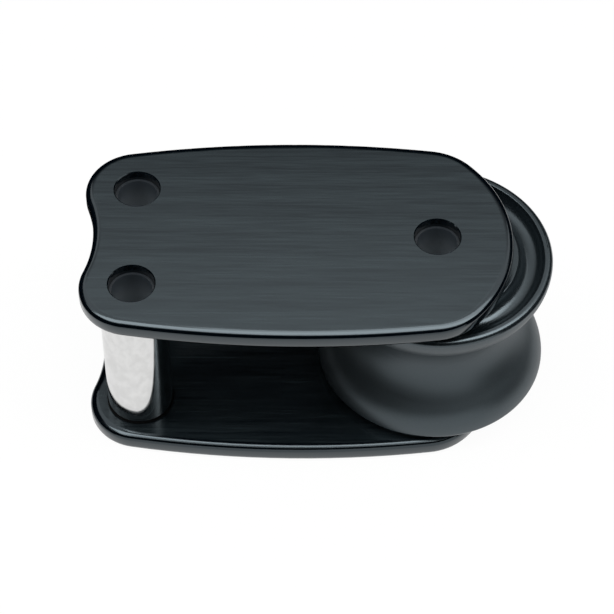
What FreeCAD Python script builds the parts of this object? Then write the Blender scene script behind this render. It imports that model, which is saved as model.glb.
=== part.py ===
import FreeCAD, Part
import math
import os

# Deck foot block: a tall grooved sheave turns between two cheek plates.
# Two hollow posts and the hollow axle hold the plates apart. Three bolts of
# the deck go down through the posts and the axle.
# Millimetres. The origin is on the sheave axis at the underside of the base
# plate, +X points from the posts to the sheave end and +Z points up.

Vector = FreeCAD.Vector
ORIGIN = Vector(0, 0, 0)
UP = Vector(0, 0, 1)
OUT = "parts"

# Cheek plates
plate_gap = 53.1
plate_thickness = 6.5
plate_width = 81.6
belly_share = 0.454
plate_end_reach = 24.35
plate_end_flatness = 5.4
plate_corner_radius = 20.35
lobe_margin = 5.95
notch_depth = 3.4
bevel_width = 2.0
bevel_drop = 0.93
bevel_upper_radius = 4.0
bevel_lower_radius = 1.65
lower_edge_radius = 1.9
hole_chamfer = 0.3

# Posts and axle
post_setback = 96.6
post_edge_distance = 21.0
bolt_bore_radius = 6.5
spigot_wall = 0.8
spigot_fit = 0.05
spigot_setback = 3.4
shoulder_width = 3.45
shoulder_chamfer = 0.4
washer_thickness = 0.8
washer_overhang = 0.3

# Sheave
sheave_radius = 37.5
groove_wall = 5.0
flank_radius = 12.0
lip_radius = 1.7
side_clearance = 1.4
channel_rim = 2.8
hub_rim = 2.1
channel_edge_radius = 0.35

# Roller bearing
race_wall = 5.25
race_fit = 0.02
roller_radius = 2.5
roller_count = 14
roller_play = 0.1
roller_end_play = 0.2
pocket_play = 0.25
cage_thickness = 2.4
cage_rim = 1.6
cage_end_play = 0.25
spacer_thickness = 2.4
spacer_clearance = 0.3
roller_chamfer = 0.3

# Side load ball bearing
ball_radius = 2.5
ball_count = 16
ball_play = 0.1
ball_track_inset = 0.6
thrust_race_thickness = 2.1
thrust_race_clearance = 0.4
ball_cage_thickness = 2.0
ball_cage_wall = 4.6
ball_cage_inset = 0.2

# Worked out from the sizes above
top_underside = plate_thickness + plate_gap
block_height = top_underside + plate_thickness
mid_height = plate_thickness + plate_gap / 2
spigot_radius = bolt_bore_radius + spigot_wall
hole_radius = spigot_radius + spigot_fit
post_radius = spigot_radius + shoulder_width
lobe_radius = post_radius + lobe_margin
belly_setback = belly_share * post_setback
plate_end_radius = plate_width / 2 + plate_end_flatness
post_offset = plate_width / 2 - post_edge_distance
post_centres = {
    "front_post": (-post_setback, -post_offset),
    "rear_post": (-post_setback, post_offset),
}
hole_centres = [(0, 0)] + list(post_centres.values())
sheave_half = plate_gap / 2 - side_clearance
race_radius = post_radius + race_wall
bore_radius = race_radius + 2 * (roller_radius + roller_play)
pitch_radius = race_radius + roller_play + roller_radius
ball_pitch_radius = bore_radius + ball_track_inset
ball_track_radius = ball_radius + ball_play
ball_height = plate_gap / 2 - thrust_race_thickness - ball_track_radius
seat_height = ball_height - ball_track_radius
counterbore_radius = ball_pitch_radius + ball_track_radius
root_radius = bore_radius + groove_wall
channel_inner_radius = counterbore_radius + hub_rim
channel_outer_radius = sheave_radius - channel_rim
cage_height = seat_height - spacer_thickness / 2 - cage_end_play
roller_length = cage_height - 2 * cage_rim - 2 * roller_end_play


def at(shape, x=0, y=0, z=0):
    moved = shape.copy()
    moved.translate(Vector(x, y, z))
    return moved


def ring(inner, outer, low, high):
    body = Part.makeCylinder(outer, high - low, Vector(0, 0, low))
    return body.cut(Part.makeCylinder(inner, high - low, Vector(0, 0, low)))


def turned(points):
    """Solid of revolution about Z of a closed outline of (radius, height) points."""
    corners = [Vector(radius, 0, height) for radius, height in points]
    face = Part.Face(Part.makePolygon(corners + corners[:1]))
    return face.revolve(ORIGIN, UP, 360)


def around(shape, count):
    """A group of equal solids spaced evenly about the sheave axis."""
    solids = []
    for index in range(count):
        copy = shape.copy()
        copy.rotate(ORIGIN, UP, 360 * index / count)
        solids.append(copy)
    return Part.makeCompound(solids)


def mirrored(shape):
    """The same piece on the other side of the block's middle plane."""
    return shape.mirror(Vector(0, 0, mid_height), UP)


def arc_about(centre, radius, start, end):
    """Arc in the XY plane from one angle to another, in radians."""
    points = []
    for angle in (start, (start + end) / 2, end):
        points.append(Vector(
            centre[0] + radius * math.cos(angle),
            centre[1] + radius * math.sin(angle),
            0,
        ))
    return Part.Arc(*points).toShape()


def direction(start, end):
    return math.atan2(end[1] - start[1], end[0] - start[0])


def crossing(first, first_radius, second, second_radius):
    """Where two circles cross, on the side towards the sheave end."""
    across = math.hypot(second[0] - first[0], second[1] - first[1])
    along = (across ** 2 + first_radius ** 2 - second_radius ** 2) / (2 * across)
    aside = math.sqrt(first_radius ** 2 - along ** 2)
    unit_x = (second[0] - first[0]) / across
    unit_y = (second[1] - first[1]) / across
    base_x = first[0] + along * unit_x
    base_y = first[1] + along * unit_y
    candidates = [
        (base_x - aside * unit_y, base_y + aside * unit_x),
        (base_x + aside * unit_y, base_y - aside * unit_x),
    ]
    return max(candidates)


def plate_outline():
    """Closed outline of a cheek plate: every arc is tangent to the next one."""
    half_width = plate_width / 2
    lobe = (-post_setback, post_offset)

    # The long side bulges gently and runs into the lobe round the post.
    side_reach = post_setback - belly_setback
    side_drop = half_width - post_offset
    side_radius = (side_reach ** 2 + side_drop ** 2 - lobe_radius ** 2) / (2 * (side_drop - lobe_radius))
    side = (-belly_setback, half_width - side_radius)

    # The rounded end under the sheave meets the side in a tighter corner.
    end = (plate_end_reach - plate_end_radius, 0)
    corner = crossing(
        side, side_radius - plate_corner_radius,
        end, plate_end_radius - plate_corner_radius,
    )

    # The hollow between the two lobes touches both.
    notch_offset = lobe_radius - notch_depth
    notch_radius = (notch_offset ** 2 + post_offset ** 2 - lobe_radius ** 2) / (2 * notch_depth)
    notch = (-post_setback - notch_offset - notch_radius, 0)

    end_angle = direction(end, corner)
    corner_angle = direction(side, corner)
    lobe_angle = direction(side, lobe)
    notch_angle = direction(notch, lobe)
    upper = [
        (corner, plate_corner_radius, end_angle, corner_angle),
        (side, side_radius, corner_angle, lobe_angle),
        (lobe, lobe_radius, lobe_angle, math.pi + notch_angle),
    ]
    edges = [arc_about(end, plate_end_radius, -end_angle, end_angle)]
    edges += [arc_about(*arc) for arc in upper]
    edges.append(arc_about(notch, notch_radius, notch_angle, -notch_angle))
    for centre, radius, start, finish in reversed(upper):
        edges.append(arc_about((centre[0], -centre[1]), radius, -finish, -start))
    return Part.Wire(edges)


def level_edges(shape, height):
    """The edges that lie flat at this height."""
    edges = []
    for edge in shape.Edges:
        box = edge.BoundBox
        if abs(box.ZMin - height) < 1e-6 and abs(box.ZMax - height) < 1e-6:
            edges.append(edge)
    return edges


def cheek_plate():
    """Aluminium plate with a soft shallow bevel above and a hole for each spigot."""
    plate = Part.Face(plate_outline()).extrude(Vector(0, 0, plate_thickness))
    plate = plate.makeChamfer(bevel_drop, bevel_width, level_edges(plate, plate_thickness))
    plate = plate.makeFillet(bevel_lower_radius, level_edges(plate, plate_thickness - bevel_drop))
    plate = plate.makeFillet(bevel_upper_radius, level_edges(plate, plate_thickness))
    plate = plate.makeFillet(lower_edge_radius, level_edges(plate, 0))
    mouth = hole_radius + hole_chamfer
    for x, y in hole_centres:
        drill = Part.makeCylinder(hole_radius, plate_thickness)
        countersink = Part.makeCone(
            hole_radius, mouth, hole_chamfer, Vector(0, 0, plate_thickness - hole_chamfer),
        )
        plate = plate.cut(at(drill, x, y)).cut(at(countersink, x, y))
    return plate


def spacer_tube(shoulder_low, shoulder_high):
    """Hollow steel tube with a thinner spigot at each end, bored for a bolt."""
    top = block_height - spigot_setback
    chamfer = shoulder_chamfer
    return turned([
        (bolt_bore_radius, 0),
        (spigot_radius, 0),
        (spigot_radius, shoulder_low),
        (post_radius - chamfer, shoulder_low),
        (post_radius, shoulder_low + chamfer),
        (post_radius, shoulder_high - chamfer),
        (post_radius - chamfer, shoulder_high),
        (spigot_radius, shoulder_high),
        (spigot_radius, top),
        (bolt_bore_radius, top),
    ])


def post():
    return spacer_tube(plate_thickness + washer_thickness, top_underside - washer_thickness)


def axle_tube():
    """The axle is clamped between the two thrust races."""
    return spacer_tube(
        plate_thickness + thrust_race_thickness,
        top_underside - thrust_race_thickness,
    )


def lower_washer():
    """Plastic washer that keeps the steel shoulder off the plate."""
    return ring(
        hole_radius, post_radius + washer_overhang,
        plate_thickness, plate_thickness + washer_thickness,
    )


def inner_race():
    """Sleeve on the axle that the rollers run on."""
    half = plate_gap / 2 - thrust_race_thickness - race_fit
    return ring(post_radius + race_fit, race_radius, mid_height - half, mid_height + half)


def roller_spacer():
    """Ring on the inner race that parts the two rows of rollers."""
    half = spacer_thickness / 2
    return ring(
        race_radius + race_fit, bore_radius - spacer_clearance,
        mid_height - half, mid_height + half,
    )


def upper_thrust_race():
    """Steel ring under the top plate that the side load balls run on."""
    return ring(
        hole_radius, counterbore_radius - thrust_race_clearance,
        top_underside - thrust_race_thickness, top_underside,
    )


def arc_through(*points):
    return Part.Arc(*[Vector(radius, 0, height) for radius, height in points]).toShape()


def line(start, end):
    return Part.LineSegment(Vector(start[0], 0, start[1]), Vector(end[0], 0, end[1])).toShape()


def on_circle(centre, radius, degrees):
    angle = math.radians(degrees)
    return (centre[0] + radius * math.cos(angle), centre[1] + radius * math.sin(angle))


def sheave_half_profile():
    """Section of the sheave above its middle plane, heights from that plane."""
    widest = sheave_half - lip_radius
    flank = (sheave_radius - flank_radius, widest)

    # The hollow of the rope groove touches the bulge of the flange.
    depth = sheave_radius - root_radius
    flank_offset = depth - flank_radius
    groove_radius = (flank_offset ** 2 + widest ** 2 - flank_radius ** 2) / (2 * depth)
    groove = (root_radius + groove_radius, 0)
    turn = math.degrees(direction(groove, flank))
    half_turn = (180 + turn) / 2
    flank_turn = turn - 180

    lip = (sheave_radius - lip_radius, widest)
    channel = ((channel_inner_radius + channel_outer_radius) / 2, sheave_half)
    channel_radius = (channel_outer_radius - channel_inner_radius) / 2
    track = (ball_pitch_radius, seat_height + ball_track_radius)

    root = (root_radius, 0)
    inflection = on_circle(groove, groove_radius, turn)
    rim = (sheave_radius, widest)
    rim_top = (lip[0], sheave_half)
    channel_out = (channel_outer_radius, sheave_half)
    channel_in = (channel_inner_radius, sheave_half)
    hub_edge = (counterbore_radius, sheave_half)
    track_out = (counterbore_radius, track[1])
    track_in = (ball_pitch_radius, seat_height)
    bore_top = (bore_radius, seat_height)
    bore_middle = (bore_radius, 0)
    return [
        arc_through(root, on_circle(groove, groove_radius, half_turn), inflection),
        arc_through(inflection, on_circle(flank, flank_radius, flank_turn / 2), rim),
        arc_through(rim, on_circle(lip, lip_radius, 45), rim_top),
        line(rim_top, channel_out),
        arc_through(channel_out, on_circle(channel, channel_radius, -90), channel_in),
        line(channel_in, hub_edge),
        line(hub_edge, track_out),
        arc_through(track_out, on_circle(track, ball_track_radius, -45), track_in),
        line(track_in, bore_top),
        line(bore_top, bore_middle),
        line(bore_middle, root),
    ]


def sheave():
    """Tall sheave with an hourglass rope groove and a dished channel in each side."""
    face = Part.Face(Part.Wire(sheave_half_profile()))
    upper = face.revolve(ORIGIN, UP, 360)
    edges = []
    for edge in upper.Edges:
        box = edge.BoundBox
        on_top = abs(box.ZMin - sheave_half) < 1e-6 and abs(box.ZMax - sheave_half) < 1e-6
        reach = max(box.XMax, -box.XMin)
        near_channel = min(abs(reach - channel_inner_radius), abs(reach - channel_outer_radius)) < 0.01
        if on_top and near_channel:
            edges.append(edge)
    upper = upper.makeFillet(channel_edge_radius, edges)
    whole = upper.fuse(upper.mirror(ORIGIN, UP)).removeSplitter()
    return at(whole, z=mid_height)


def row_height():
    """Middle height of the upper row of rollers."""
    room_low = mid_height + spacer_thickness / 2
    room_high = mid_height + seat_height
    return (room_low + room_high) / 2


def roller(radius, length):
    return Part.makeCylinder(radius, length, Vector(pitch_radius, 0, -length / 2))


def upper_rollers():
    """Row of plastic rollers that carry the pull of the rope."""
    body = roller(roller_radius, roller_length)
    ends = [edge for edge in body.Edges if edge.BoundBox.ZMax - edge.BoundBox.ZMin < 1e-6]
    body = body.makeChamfer(roller_chamfer, ends)
    return at(around(body, roller_count), z=row_height())


def upper_roller_cage():
    """Ring with a window for each roller."""
    half = cage_height / 2
    cage = ring(
        pitch_radius - cage_thickness / 2, pitch_radius + cage_thickness / 2, -half, half,
    )
    window = roller(roller_radius + pocket_play, roller_length + 2 * roller_end_play)
    return at(cage.cut(around(window, roller_count)), z=row_height())


def upper_side_balls():
    """Ring of plastic balls that carry the sheave sideways."""
    ball = Part.makeSphere(ball_radius, Vector(ball_pitch_radius, 0, 0))
    return at(around(ball, ball_count), z=mid_height + ball_height)


def upper_ball_cage():
    """Comb ring inside the balls that keeps them apart."""
    outer = ball_pitch_radius - ball_cage_inset
    half = ball_cage_thickness / 2
    cage = ring(outer - ball_cage_wall, outer, -half, half)
    pocket = Part.makeSphere(ball_radius + ball_cage_inset, Vector(ball_pitch_radius, 0, 0))
    return at(cage.cut(around(pocket, ball_count)), z=mid_height + ball_height)


def make_parts():
    plate = cheek_plate()
    pieces = {
        "base_plate": plate,
        "top_plate": at(plate, z=top_underside),
        "axle_tube": axle_tube(),
        "inner_race": inner_race(),
        "roller_spacer": roller_spacer(),
        "sheave": sheave(),
    }
    for name, (x, y) in post_centres.items():
        pieces[name] = at(post(), x, y)
        pieces[f"{name}_lower_washer"] = at(lower_washer(), x, y)
        pieces[f"{name}_upper_washer"] = at(mirrored(lower_washer()), x, y)
    upper_pieces = {
        "thrust_race": upper_thrust_race(),
        "rollers": upper_rollers(),
        "roller_cage": upper_roller_cage(),
        "side_balls": upper_side_balls(),
        "ball_cage": upper_ball_cage(),
    }
    for name, shape in upper_pieces.items():
        pieces[f"upper_{name}"] = shape
        pieces[f"lower_{name}"] = mirrored(shape)
    return pieces


def main():
    os.makedirs(OUT, exist_ok=True)
    for name, shape in make_parts().items():
        shape.exportStep(f"{OUT}/{name}.step")
        print(name, len(shape.Solids), round(shape.Volume, 1), shape.isValid())


main()
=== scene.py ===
import math

import bpy
import bmesh
from mathutils import Matrix, Vector

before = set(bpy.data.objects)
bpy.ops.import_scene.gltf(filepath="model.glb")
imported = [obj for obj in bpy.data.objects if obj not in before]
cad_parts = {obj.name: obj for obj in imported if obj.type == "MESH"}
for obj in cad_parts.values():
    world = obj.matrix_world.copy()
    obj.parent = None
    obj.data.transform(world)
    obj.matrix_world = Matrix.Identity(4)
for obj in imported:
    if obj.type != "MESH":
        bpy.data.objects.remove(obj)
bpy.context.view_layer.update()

scene = bpy.context.scene


# The cheek plates: two equal plates of aluminium, milled with a rounded rim,
# brushed lengthwise on their flats and hard anodised black. The axle and the
# posts are pressed into their three holes.
class Wire:
    """An output of a shader node. Arithmetic on wires adds the Math nodes."""

    def __init__(self, tree, socket):
        self.tree = tree
        self.socket = socket

    def math(self, operation, *others):
        values = dict(enumerate((self, *others)))
        return self.tree.node("Math", {"operation": operation}, values)

    def step(self, low, high):
        """0 below low, 1 above high and a smooth rise between them."""
        return self.tree.node(
            "MapRange", {"interpolation_type": "SMOOTHSTEP"},
            {"Value": self, "From Min": low, "From Max": high},
        )

    def __add__(self, other):
        return self.math("ADD", other)

    def __sub__(self, other):
        return self.math("SUBTRACT", other)

    def __rsub__(self, other):
        return self.math("MULTIPLY_ADD", -1, other)

    def __mul__(self, other):
        return self.math("MULTIPLY", other)

    def __truediv__(self, other):
        return self.math("DIVIDE", other)

    def __abs__(self):
        return self.math("ABSOLUTE")

    __radd__ = __add__
    __rmul__ = __mul__


class ShaderTree:
    """The nodes of a material or of the world."""

    def __init__(self, owner):
        owner.use_nodes = True
        self.nodes = owner.node_tree.nodes
        self.links = owner.node_tree.links

    def node(self, kind, settings={}, sockets={}, output=0):
        made = self.nodes.new(f"ShaderNode{kind}")
        for name, value in settings.items():
            setattr(made, name, value)
        self.connect(made, sockets)
        return Wire(self, made.outputs[output])

    def connect(self, node, sockets):
        for name, value in sockets.items():
            if isinstance(value, Wire):
                self.links.new(value.socket, node.inputs[name])
            else:
                node.inputs[name].default_value = value

    def vector(self, operation, *vectors):
        return self.node("VectorMath", {"operation": operation}, dict(enumerate(vectors)))

    def join(self, x=0, y=0, z=0):
        return self.node("CombineXYZ", sockets={"X": x, "Y": y, "Z": z})

    def split(self, vector):
        separated = self.node("SeparateXYZ", sockets={0: vector}).socket.node
        return [Wire(self, part) for part in separated.outputs]


class Finish(ShaderTree):
    """A material with one Principled shader, its patterns in the part's own metres."""

    def __init__(self, name):
        self.material = bpy.data.materials.new(name)
        super().__init__(self.material)
        self.place = self.node("TexCoord", output="Object")
        self.facing = self.node("TexCoord", output="Normal")

    def noise(self, per_metre, detail=2.0, vector=None):
        """Noise with its own number of patches per metre along each axis."""
        stretched = self.node("Mapping", sockets={
            "Vector": vector or self.place, "Scale": per_metre,
        })
        return self.node("TexNoise", sockets={"Vector": stretched, "Scale": 1.0, "Detail": detail})

    def contrast(self, per_metre, detail=2.0):
        """Noise whose middle values are spread over the whole of 0 to 1."""
        return self.noise(per_metre, detail).step(0.3, 0.7)

    def mix(self, amount, first, second):
        sockets = {0: amount, 6: first, 7: second}
        return self.node("Mix", {"data_type": "RGBA"}, sockets, output=2)

    def bump(self, height, depth, before=None):
        """Normals of a relief: height in units of depth, which is in metres."""
        sockets = {"Height": height, "Distance": depth, "Strength": 1.0}
        if before:
            sockets["Normal"] = before
        return self.node("Bump", sockets=sockets)

    def set(self, **sockets):
        shader = self.nodes["Principled BSDF"]
        self.connect(shader, {name.replace("_", " "): value for name, value in sockets.items()})

    def dress(self, *nodes):
        for name in nodes:
            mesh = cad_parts[name].data
            mesh.materials.clear()
            mesh.materials.append(self.material)


def from_centre(x, y):
    """How far a place is from an upright axis, from its distances along X and Y."""
    return (x * x + y * y).math("SQRT")


plate_thickness = 0.0065
top_plate_underside = 0.0596
between_plates = 0.03
post_x, post_y = -0.0966, 0.0198
anodising_tint = (0.77, 0.92, 1, 1)

plate = Finish("brushed_black_anodising")
along, across, level = plate.split(plate.place)
_, _, upward = plate.split(plate.facing)

# The rim's normals are worked out from the depth below the plate's face, because
# the mesh has only a few facets on its roundings. They turn from the face over
# the crown to the bevel, and over the shoulder to the side wall. The wall is
# shaded as leaning in a little, and the toe rounds it off to the underside.
crown_radius = 0.004
bevel_rise = 0.9068
shoulder_radius, shoulder_end = 0.00165, 0.00198
wall_start, wall_lean = 0.002, 60.0
toe_radius, toe_start = 0.0019, 0.0046
depth = plate_thickness - (level - level.math("GREATER_THAN", between_plates) * top_plate_underside)
crown = (1 - depth / crown_radius).math("MAXIMUM", bevel_rise)
shoulder = ((shoulder_end - depth) / shoulder_radius).math("MAXIMUM", 0)
wall = ((wall_start - depth) * wall_lean).math("MINIMUM", 0)
toe = ((toe_start - depth) / toe_radius).math("MINIMUM", 0)
rise = (crown.math("MINIMUM", shoulder) + wall + toe).math("MAXIMUM", -1)
spread = (1 - rise * rise).math("MAXIMUM", 0).math("SQRT")
outward = plate.vector("NORMALIZE", plate.vector("MULTIPLY", plate.facing, (1, 1, 0)))
lengthwise, crosswise, _ = plate.split(outward)
rim = plate.join(lengthwise * spread, crosswise * spread, rise)

# The holes' walls and the chamfers above them are round too: their normals point
# at the middle of the nearest hole, and on the chamfer half of the way up.
axle_zone = 0.02
wall_radius, chamfer_radius = 0.00737, 0.00766
at_post = from_centre(along, across).math("GREATER_THAN", axle_zone)
hole_x = at_post * post_x
hole_y = at_post * across.math("SIGN") * post_y
from_hole = from_centre(along - hole_x, across - hole_y)
inward = plate.vector("NORMALIZE", plate.join(hole_x - along, hole_y - across))
chamfer = from_hole.math("GREATER_THAN", wall_radius) * upward.math("SIGN")
hole = plate.vector("NORMALIZE", plate.vector("ADD", inward, plate.join(z=chamfer)))
outside = from_hole.math("GREATER_THAN", chamfer_radius)
edge = plate.node("Mix", {"data_type": "VECTOR"}, {0: outside, 4: hole, 5: rim}, output=1)
edge = plate.node(
    "VectorTransform", {"vector_type": "NORMAL", "convert_from": "OBJECT", "convert_to": "WORLD"},
    {"Vector": edge},
)

# The brushing: fine streaks in broader bands, on the flats alone. A pair such as
# flat_rise is where a finish begins and where it is full.
flat_rise = 0.985, 0.9995
bare_black = (0.0005, 0.002, 0.004, 1)
brushed_grey = (0.021, 0.03, 0.034, 1)
flat = abs(rise).step(*flat_rise) * outside
streak = plate.contrast((60, 1500, 400), detail=3.0)
band = plate.contrast((9, 260, 60))
cloud = plate.noise((34, 90, 60))
brushing = flat * (0.5 * streak + 0.35 * band + 0.15 * cloud)
plate.set(
    Base_Color=plate.mix(brushing, bare_black, brushed_grey),
    Roughness=flat * (0.06 + 0.04 * streak) + 0.13,
    IOR=1.7,
    Specular_Tint=anodising_tint,
    Normal=plate.bump(flat * (streak + band), depth=0.000005, before=edge),
)
plate.dress("base_plate", "top_plate")


# The posts: hollow spacers turned from stainless bar and polished to a mirror
# on the outside. Their bores are coloured grey, turning near black towards the
# mouth as painted shade, and their ends in the plates' holes are near black, also painted shade.
def tube_colours(finish, reach, metal):
    """Where the outside of a tube is, and its colour inside and out, with painted shade at the bore's
    mouth and on its ends.
    """
    wall = 0.0078, 0.009
    mouth_shade_level = 0.049, 0.062
    end_shade_upward = 0.5, 0.9
    bore_grey = (0.3, 0.34, 0.37, 1)
    mouth_shade_black = (0.06, 0.075, 0.09, 1)
    end_shade_black = (0.016, 0.022, 0.028, 1)
    _, _, level = finish.split(finish.place)
    _, _, upward = finish.split(finish.facing)
    skin = reach.step(*wall)
    # Painted shade: the bore turns near black towards its mouth, and the ends facing up are near black.
    bore = finish.mix(level.step(*mouth_shade_level), bore_grey, mouth_shade_black)
    bore = finish.mix(upward.step(*end_shade_upward), bore, end_shade_black)
    return skin, finish.mix(skin, bore, metal)


polished_dark = (0.68, 0.68, 0.675, 1)
polished_light = (0.77, 0.77, 0.765, 1)
post = Finish("polished_stainless_post")
haze = post.contrast((330, 330, 240), detail=5.0)
along, across, _ = post.split(post.place)
reach = from_centre(along - post_x, abs(across) - post_y)
skin, colour = tube_colours(post, reach, post.mix(haze, polished_dark, polished_light))
post.set(
    Base_Color=colour,
    Metallic=skin,
    Roughness=0.07 + 0.05 * haze + 0.4 * (1 - skin),
)
post.dress("front_post", "rear_post")


# The washers: thin black acetal rings under the shoulders of the posts. They
# keep the stainless steel off the aluminium.
acetal = Finish("black_acetal")
acetal_grain = acetal.noise((1500, 1500, 1500))
acetal.set(
    Base_Color=(0.003, 0.003, 0.003, 1),
    Specular_IOR_Level=0.1,
    Roughness=0.4 + 0.15 * acetal_grain,
    Normal=acetal.bump(acetal_grain, depth=0.00001),
)
acetal.dress(*(f"{end}_post_{side}_washer" for end in ("front", "rear") for side in ("upper", "lower")))


# The axle and the races: turned and ground stainless steel. The hollow axle is
# pressed into both plates and clamps the races that the bearings run on.
def turned_grain(finish, reach, per_metre, detail):
    """The fine rings about the axis that a turning tool leaves."""
    _, _, level = finish.split(finish.place)
    rings = finish.join(x=reach, z=level)
    return finish.noise((per_metre, per_metre, per_metre), detail, rings)


ground_dark = (0.52, 0.52, 0.53, 1)
ground_light = (0.62, 0.62, 0.63, 1)
bearing = Finish("ground_bearing_steel")
along, across, _ = bearing.split(bearing.place)
reach = from_centre(along, across)
turning = turned_grain(bearing, reach, 5200, detail=1.0)
# The axle's bore and ends get the same painted shade at the mouth and ends as the posts'.
skin, colour = tube_colours(bearing, reach, bearing.mix(turning, ground_dark, ground_light))
bearing.set(
    Base_Color=colour,
    Metallic=skin,
    Roughness=0.2 + 0.14 * turning + 0.2 * (1 - skin),
    Normal=bearing.bump(turning, depth=0.000012),
)
bearing.dress("axle_tube", "inner_race", "upper_thrust_race", "lower_thrust_race")


# The roller bearing: two rows of olive brown polymer rollers, each in a black
# moulded cage, with a spacer ring between the rows.
olive_dark = (0.11, 0.08, 0.025, 1)
olive_light = (0.2, 0.15, 0.055, 1)
roller = Finish("olive_bearing_polymer")
speckle = roller.noise((900, 900, 900), detail=3.0)
roller.set(
    Base_Color=roller.mix(speckle, olive_dark, olive_light),
    Roughness=0.34 + 0.16 * speckle,
)
roller.dress("upper_rollers", "lower_rollers")

cage = Finish("black_moulded_cage")
mould_grain = cage.noise((1200, 1200, 1200), detail=3.0)
cage.set(
    Base_Color=(0.02, 0.02, 0.021, 1),
    Roughness=0.42 + 0.2 * mould_grain,
    Normal=cage.bump(mould_grain, depth=0.00002),
)
cage.dress("upper_roller_cage", "lower_roller_cage", "roller_spacer", "upper_ball_cage", "lower_ball_cage")


# The side load balls: white acetal balls in black comb cages, one ring above
# the rollers and one below.
ivory_dark = (0.72, 0.71, 0.67, 1)
ivory_light = (0.8, 0.79, 0.76, 1)
ball = Finish("white_acetal_ball")
ball_grain = ball.noise((700, 700, 700))
ball.set(
    Base_Color=ball.mix(ball_grain, ivory_dark, ivory_light),
    Roughness=0.24 + 0.1 * ball_grain,
)
ball.dress("upper_side_balls", "lower_side_balls")


# The sheave: turned from aluminium bar, bead blasted and hard anodised black,
# so it is more satin than the plates. Its flat rims keep a fine turned grain.
sheave = Finish("satin_black_anodising")
along, across, level = sheave.split(sheave.place)
_, _, upward = sheave.split(sheave.facing)
reach = from_centre(along, across)
turning = turned_grain(sheave, reach, 3600, detail=2.0)
blasting = sheave.noise((1600, 1600, 1600), detail=3.0)
land_upward = 0.97, 0.995
land = abs(upward).step(*land_upward)

# The rope groove is a little duller and paler than the lips and the channel.
sheave_middle = 0.03305
channel_end = 0.0345, 0.035
groove_end = 0.0195, 0.0205
lip_start = 0.023, 0.024
satin_black = (0.001, 0.004, 0.006, 1)
satin_grey = (0.032, 0.04, 0.045, 1)
from_middle = abs(level - sheave_middle)
groove = reach.step(*channel_end).math("MAXIMUM", 1 - from_middle.step(*groove_end))
groove = groove * (1 - from_middle.step(*lip_start))
sheave.set(
    Base_Color=sheave.mix(0.5 * blasting + 0.36 * groove, satin_black, satin_grey),
    Roughness=0.19 + 0.08 * blasting + 0.21 * groove,
    IOR=1.84,
    Specular_Tint=anodising_tint,
    Normal=sheave.bump(turning * land * 1.5 + blasting, depth=0.000022),
)
sheave.dress("sheave")


# The table: a white sheet that runs out to the horizon. It is bright to the
# camera and in reflections, and it keeps a trace of the block's shadow.
white = (1, 1, 1, 1)


class StudioSurface(ShaderTree):
    """A material of the studio, with a shader other than the Principled one."""

    def __init__(self, name):
        self.material = bpy.data.materials.new(name)
        super().__init__(self.material)
        self.nodes.remove(self.nodes["Principled BSDF"])

    def light(self, strength):
        return self.node("Emission", sockets={"Color": white, "Strength": strength})

    def show(self, shader):
        self.connect(self.nodes["Material Output"], {"Surface": shader})


def card(name, corners, material):
    """A flat panel of the studio through its corners, which isn't part of the block."""
    shape = bmesh.new()
    shape.faces.new([shape.verts.new(corner) for corner in corners])
    mesh = bpy.data.meshes.new(name)
    shape.to_mesh(mesh)
    shape.free()
    mesh.materials.append(material)
    panel = bpy.data.objects.new(name, mesh)
    scene.collection.objects.link(panel)
    return panel


def level_square(x, y, z, half):
    """The corners of a level square about a point, from half of its width."""
    return [(x + half * a, y + half * b, z) for a, b in ((-1, -1), (1, -1), (1, 1), (-1, 1))]


def seen(tree, in_mirrors=1.0):
    """1 for rays that show the surroundings, with a level of its own in reflections."""
    paths = tree.node("LightPath").socket.node.outputs
    camera, glossy, transmission = [
        Wire(tree, paths[f"Is {kind} Ray"]) for kind in ("Camera", "Glossy", "Transmission")
    ]
    return camera.math("MAXIMUM", glossy * in_mirrors).math("MAXIMUM", transmission)


table_half = 4.0
table_level = -0.0001
paper_white = (0.82, 0.82, 0.82, 1)
glow_strength = 1.03
glow_share = 0.93
mirrored_level = 0.82
paper = StudioSurface("white_paper")
sheet = paper.node("BsdfDiffuse", sockets={"Color": paper_white})
paper.show(paper.node("MixShader", sockets={
    0: seen(paper, mirrored_level) * glow_share, 1: sheet, 2: paper.light(glow_strength),
}))
card("table", level_square(0, 0, table_level, table_half), paper.material)


# The air of the studio: white where it is seen or mirrored, and a soft fill on
# the block from every side.
air = ShaderTree(bpy.data.worlds.new("studio_air"))
scene.world = bpy.data.worlds["studio_air"]
fill_strength = 0.35
air.connect(air.nodes["Background"], {
    "Color": white,
    "Strength": seen(air) * (1 - fill_strength) + fill_strength,
})


# The black cards: one stands in front of the block, one at each end of it and
# one close behind it. Only glossy surfaces see them, as dark lines on the rims
# and between the plates.
left, right, front, rear = -0.22, 0.16, -0.14, 0.20
front_feet, level_feet = (0.02, 0.09), (0, 0)
front_height, left_height, right_height, back_height = 0.26, 0.175, 0.18, 0.088
rise_start, rise_end, rise_height = -0.03, -0.06, 0.24
left_foot = [(front, 0), (rear, 0)]
right_foot = [(front, 0), (0, 0), (0.05, 0.035), (rear, 0.035)]
back_line = (left, 0.06), (0.02, 0.06)
black = Finish("black_card")
black.set(Base_Color=(0.004, 0.004, 0.004, 1), Roughness=1.0, Specular_IOR_Level=0.0)


def upright(start, end, feet, height):
    """The corners of a card over the line from start to end, with a foot at each."""
    return [(*start, feet[0]), (*end, feet[1]), (*end, height), (*start, height)]


def end_card(name, x, foot, height):
    """A card at one end of the block, whose top rises towards the front card."""
    top = [(rear, height), (rise_start, height), (rise_end, rise_height), (front, front_height)]
    return card(name, [(x, y, z) for y, z in foot + top], black.material)


cards = [
    card("front_card", upright((left, front), (right, front), front_feet, front_height), black.material),
    end_card("left_card", left, left_foot, left_height),
    end_card("right_card", right, right_foot, right_height),
    card("back_card", upright(*back_line, level_feet, back_height), black.material),
]

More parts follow.
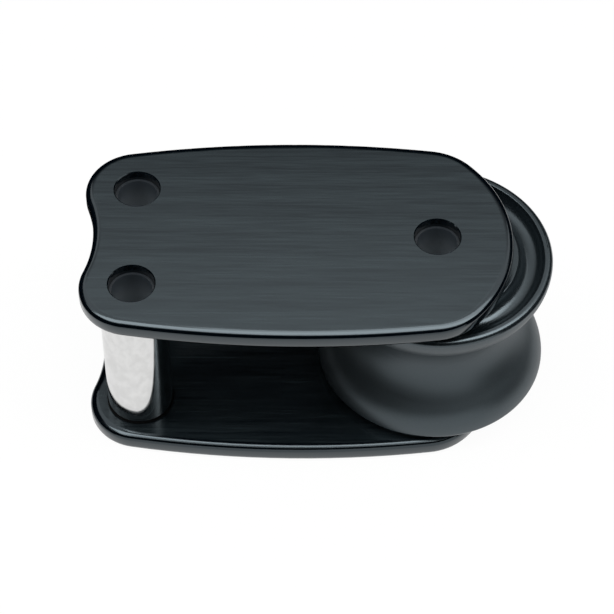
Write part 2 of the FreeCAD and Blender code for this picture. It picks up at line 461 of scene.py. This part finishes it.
# The rear card: black at its foot and lit more and more towards its top, which
# the flat of the top plate mirrors.
rear_height = 0.5
lower_glow, upper_glow = 0.45, 0.58
lower_rise, upper_rise = (0.15, 0.28), (0.24, 0.4)
graded = StudioSurface("graded_card")
_, _, level = graded.split(graded.node("TexCoord", output="Object"))
graded.show(graded.light(level.step(*lower_rise) * lower_glow + level.step(*upper_rise) * upper_glow))
rear_corners = upright((left, rear), (right, rear), level_feet, rear_height)
cards.append(card("rear_card", rear_corners, graded.material))

# The ceiling card: it carries the lamp on towards the back for glossy surfaces,
# which gives the bright line along the front rim its width.
ceiling_left, ceiling_right, ceiling_front, ceiling_rear = -0.15, 0.9, 0.045, 0.29
ceiling_level = 0.96
ceiling_glow = 3.4
lit = StudioSurface("lit_card")
lit.show(lit.light(ceiling_glow))
cards.append(card("ceiling_card", [
    (ceiling_left, ceiling_front, ceiling_level), (ceiling_right, ceiling_front, ceiling_level),
    (ceiling_right, ceiling_rear, ceiling_level), (ceiling_left, ceiling_rear, ceiling_level),
], lit.material))
for panel in cards:
    panel.visible_camera = False
    panel.visible_diffuse = False
    panel.visible_shadow = False
    panel.visible_transmission = False


# The dots: a black patch on the table under each of the three bolt bores is
# painted shade of the block, so that no light comes up through them.
dot_half = 0.008
dot_level = -0.00005
for index, (x, y) in enumerate(((0, 0), (post_x, -post_y), (post_x, post_y))):
    card(f"bore_shade_patch_{index}", level_square(x, y, dot_level, dot_half), black.material)


# The lamp: one wide softbox overhead, a little in front of the block and aimed
# at it.
softbox_width, softbox_depth = 2.3, 0.28
softbox_distance = 0.91
softbox_angle = math.radians(84)
softbox_radiance = 3.7
lamp = bpy.data.lights.new("overhead_softbox", "AREA")
lamp.shape = "RECTANGLE"
lamp.size = softbox_width
lamp.size_y = softbox_depth
lamp.energy = softbox_radiance * math.pi * softbox_width * softbox_depth
softbox = bpy.data.objects.new("overhead_softbox", lamp)
away = Vector((0, -math.cos(softbox_angle), math.sin(softbox_angle)))
softbox.location = away * softbox_distance
softbox.rotation_euler = away.to_track_quat("Z", "Y").to_euler()
scene.collection.objects.link(softbox)


# The camera: it looks down on the front of the block from 51 degrees, at the
# distance and with the lens that the photograph's perspective gives.
azimuth = math.radians(-0.2536)
elevation = math.radians(51.09)
roll = math.radians(0.4242)
distance = 0.7743
aim = Vector((-0.04144, 0, 0.03013))
image_width = 614
focal_pixels = 2344
out = math.cos(elevation)
back = Vector((math.sin(azimuth) * out, -math.cos(azimuth) * out, math.sin(elevation)))
beside = Vector((math.cos(azimuth), math.sin(azimuth), 0))
above = back.cross(beside)
camera_right = beside * math.cos(roll) + above * math.sin(roll)
camera_up = above * math.cos(roll) - beside * math.sin(roll)
turn = Matrix((camera_right, camera_up, back)).transposed()
lens = bpy.data.cameras.new("camera")
lens.sensor_width = 36
lens.lens = lens.sensor_width * focal_pixels / image_width
camera = bpy.data.objects.new("camera", lens)
camera.matrix_world = Matrix.Translation(aim + back * distance) @ turn.to_4x4()
scene.collection.objects.link(camera)
scene.camera = camera
scene.view_settings.view_transform = "Standard"
